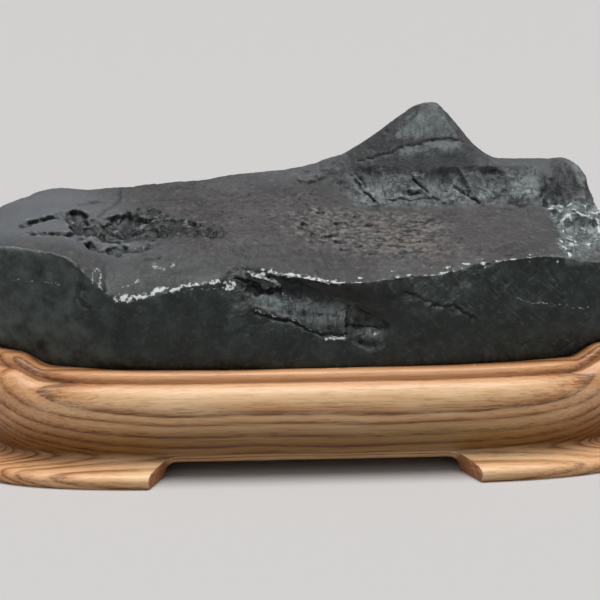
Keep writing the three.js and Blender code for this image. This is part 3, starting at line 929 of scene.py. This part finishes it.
def oiled_ash():
    """Ash or elm, planed and carved from one block and finished by rubbing in oil: pale tan wood whose open
    pores crowd into a thin brown line at each growth ring, with short pore dashes and fine fibres along its
    length."""
    material, tree = blank_material("oiled_ash")
    spot = add(tree, "TexCoord", {}, "Object")
    mm = add(tree, "Mapping", {"Vector": spot, "Scale": (1000, 1000, 1000)})
    stretches = {
        "drift": (75, 60, 1.5), "quiver": (22, 6, 2), "fibre": (34, 0.9, 3), "strand": (16, 1.8, 3),
        "pore": (7, 0.6, 1), "patch": (60, 10, 2),
    }
    grain = {}
    for name, (length, width, detail) in stretches.items():
        drawn = add(tree, "Mapping", {"Vector": mm, "Scale": (1 / length, 1 / width, 1 / width)})
        grain[name] = add(tree, "TexNoise", {"Vector": drawn, "Scale": 1, "Detail": detail, "Roughness": 0.6})

    outwards = (0, -math.sin(GRAIN_TILT), math.cos(GRAIN_TILT))
    depth = add(tree, "VectorMath", {0: mm, 1: outwards}, "Value", operation="DOT_PRODUCT")
    drifted = add(tree, "Math", {0: grain["drift"], 1: 4.5, 2: depth}, operation="MULTIPLY_ADD")
    wavy = add(tree, "Math", {0: grain["quiver"], 1: 0.9, 2: drifted}, operation="MULTIPLY_ADD")
    centred = add(tree, "Math", {0: wavy, 1: 2.7}, operation="SUBTRACT")
    share = add(tree, "MapRange", {0: centred, 1: RING_ENDS[0], 2: RING_ENDS[-1]}, clamp=False)
    count = len(RING_ENDS) - 1
    counted = add(tree, "FloatCurve", {"Value": share})
    ring_places = counted.node.mapping.curves[0].points
    for k, end in enumerate(RING_ENDS[1:-1], 1):
        ring_places.new((end - RING_ENDS[0]) / (RING_ENDS[-1] - RING_ENDS[0]), k / count)
    for point in ring_places:
        point.handle_type = "VECTOR"
    counted.node.mapping.use_clip = False
    counted.node.mapping.extend = "EXTRAPOLATED"
    counted.node.mapping.update()
    ring = add(tree, "Math", {0: counted, 1: count}, operation="MULTIPLY")
    along_ring = add(tree, "Math", {0: ring}, operation="FRACT")
    ring_number = add(tree, "Math", {0: ring}, operation="FLOOR")
    ring_tone = add(tree, "TexWhiteNoise", {"W": ring_number}, "Value", noise_dimensions="1D")
    growth = add(tree, "ValToRGB", {"Fac": along_ring})
    tones = growth.node.color_ramp.elements
    for place, tone in RING_TONES[1:-1]:
        tones.new(place)
    for element, (place, tone) in zip(tones, RING_TONES):
        element.position = place
        element.color = linear(tone)

    # The block's ends are deeper orange, the inward-sloping lower side is darkened with painted shade, and
    # the cuts show end grain.
    across = add(tree, "SeparateXYZ", {0: mm}, "X")
    from_middle = add(tree, "Math", {0: across}, operation="ABSOLUTE")
    orange_ends = add(tree, "MapRange", {0: from_middle, 1: 80, 2: 140, 3: 0.0, 4: 0.45})
    height = add(tree, "SeparateXYZ", {0: mm}, "Z")
    orange_lip = add(tree, "MapRange", {0: height, 1: 38, 2: 41.5, 3: 0.0, 4: 0.4})
    orange = add(tree, "Math", {0: orange_ends, 1: orange_lip}, operation="MAXIMUM")
    end_grain = add(tree, "Attribute", {}, "Fac", attribute_name="end_grain")
    early = add(tree, "MapRange", {0: along_ring, 1: 0.6, 2: 0.0, 3: 0.25, 4: 0.9})
    pores = add(tree, "MapRange", {0: grain["pore"], 1: 0.56, 2: 0.66, 3: 0.0, 4: early})
    colour = layered(tree, growth, [
        (add(tree, "MapRange", {0: ring_tone, 3: 0.0, 4: 0.4}), "#b98452"),
        (add(tree, "MapRange", {0: grain["patch"], 1: 0.5, 2: 0.68, 3: 0, 4: 0.45}), "#e9cba2"),
        (add(tree, "MapRange", {0: grain["strand"], 1: 0.5, 2: 0.3, 3: 0, 4: 0.25}), "#a3703f"),
        (add(tree, "MapRange", {0: grain["fibre"], 1: 0.42, 2: 0.7, 3: 0, 4: 0.4}), "#e4c498"),
        (add(tree, "MapRange", {0: grain["fibre"], 1: 0.44, 2: 0.28, 3: 0, 4: 0.35}), "#986533"),
        (add(tree, "Math", {0: pores, 1: 0.7}, operation="MULTIPLY"), "#5f3b1c"),
    ])
    warmed = add(tree, "Mix", {0: orange, 6: colour, 7: linear("#dd9350")}, 2,
                 data_type="RGBA", blend_type="MULTIPLY")
    # Painted shade darkens the inward-sloping side.
    undercut_shade_share = add(tree, "Attribute", {}, "Fac", attribute_name="undercut_shade")
    darkened = add(tree, "Mix", {0: undercut_shade_share, 6: warmed, 7: linear("#a6966a")}, 2,
                   data_type="RGBA", blend_type="MULTIPLY")
    finished = layered(tree, darkened, [(end_grain, "#8a4c28")])
    relief = add(tree, "Math", {0: grain["fibre"], 1: pores}, operation="SUBTRACT")
    bump = add(tree, "Bump", {"Height": relief, "Strength": 0.4, "Distance": 0.15 * MM})
    gloss = add(tree, "MapRange", {0: pores, 3: 0.46, 4: 0.7})
    surface = add(tree, "BsdfPrincipled",
                  {"Base Color": finished, "Roughness": gloss, "Normal": bump, "IOR": 1.48})
    add(tree, "OutputMaterial", {"Surface": surface})
    return material


def floor_material():
    """Matt pale studio paper."""
    material, tree = blank_material("studio_paper")
    surface = add(tree, "BsdfPrincipled", {"Base Color": linear("#b3b1b0"), "Roughness": 0.85})
    add(tree, "OutputMaterial", {"Surface": surface})
    return material


# ---- Studio -----------------------------------------------------------------------------------------

CAMERA_TARGET = Vector((-0.002, 0, 0.062))
CAMERA_DISTANCE = 0.75
CAMERA_AZIMUTH = math.radians(-4)
CAMERA_ELEVATION = math.radians(13)
CAMERA_LENS = 103.5
FLOOR_HALF_WIDTH = 4


def look_at(thing, place, target):
    thing.location = place
    thing.rotation_euler = (target - place).to_track_quat("-Z", "Y").to_euler()


def soft_sun(name, place, strength, spread):
    light = bpy.data.objects.new(name, bpy.data.lights.new(name, "SUN"))
    light.data.energy = strength
    light.data.angle = math.radians(spread)
    look_at(light, Vector(place), Vector((0, 0, 0)))
    bpy.context.scene.collection.objects.link(light)


def studio():
    camera = bpy.data.objects.new("camera", bpy.data.cameras.new("camera"))
    camera.data.lens = CAMERA_LENS
    camera.data.clip_start = 0.02
    back = Vector((
        math.sin(CAMERA_AZIMUTH) * math.cos(CAMERA_ELEVATION),
        -math.cos(CAMERA_AZIMUTH) * math.cos(CAMERA_ELEVATION),
        math.sin(CAMERA_ELEVATION),
    ))
    look_at(camera, CAMERA_TARGET + back * CAMERA_DISTANCE, CAMERA_TARGET)
    bpy.context.scene.collection.objects.link(camera)
    bpy.context.scene.camera = camera

    soft_sun(name="ceiling_light", place=(0.06, -0.1, 1), strength=3.7, spread=34)
    soft_sun(name="front_light", place=(-0.35, -1, 0.8), strength=0.38, spread=60)
    world = bpy.data.worlds.new("studio")
    world.use_nodes = True
    world.node_tree.nodes["Background"].inputs["Color"].default_value = linear("#e8eaec")
    world.node_tree.nodes["Background"].inputs["Strength"].default_value = 0.25
    bpy.context.scene.world = world
    bpy.context.scene.view_settings.view_transform = "Standard"

    shape = bmesh.new()
    bmesh.ops.create_grid(shape, x_segments=1, y_segments=1, size=FLOOR_HALF_WIDTH)
    mesh = bpy.data.meshes.new("floor")
    shape.to_mesh(mesh)
    shape.free()
    floor = object_from("floor", mesh)
    floor.data.materials.append(floor_material())


studio()
rock_piece = rock()
rock_piece.data.materials.clear()
rock_piece.data.materials.append(waxed_limestone())
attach(rock_piece, "root")
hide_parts("rock")

stand_piece = stand()
stand_piece.data.materials.clear()
stand_piece.data.materials.append(oiled_ash())
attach(stand_piece, "root")
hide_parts("stand")
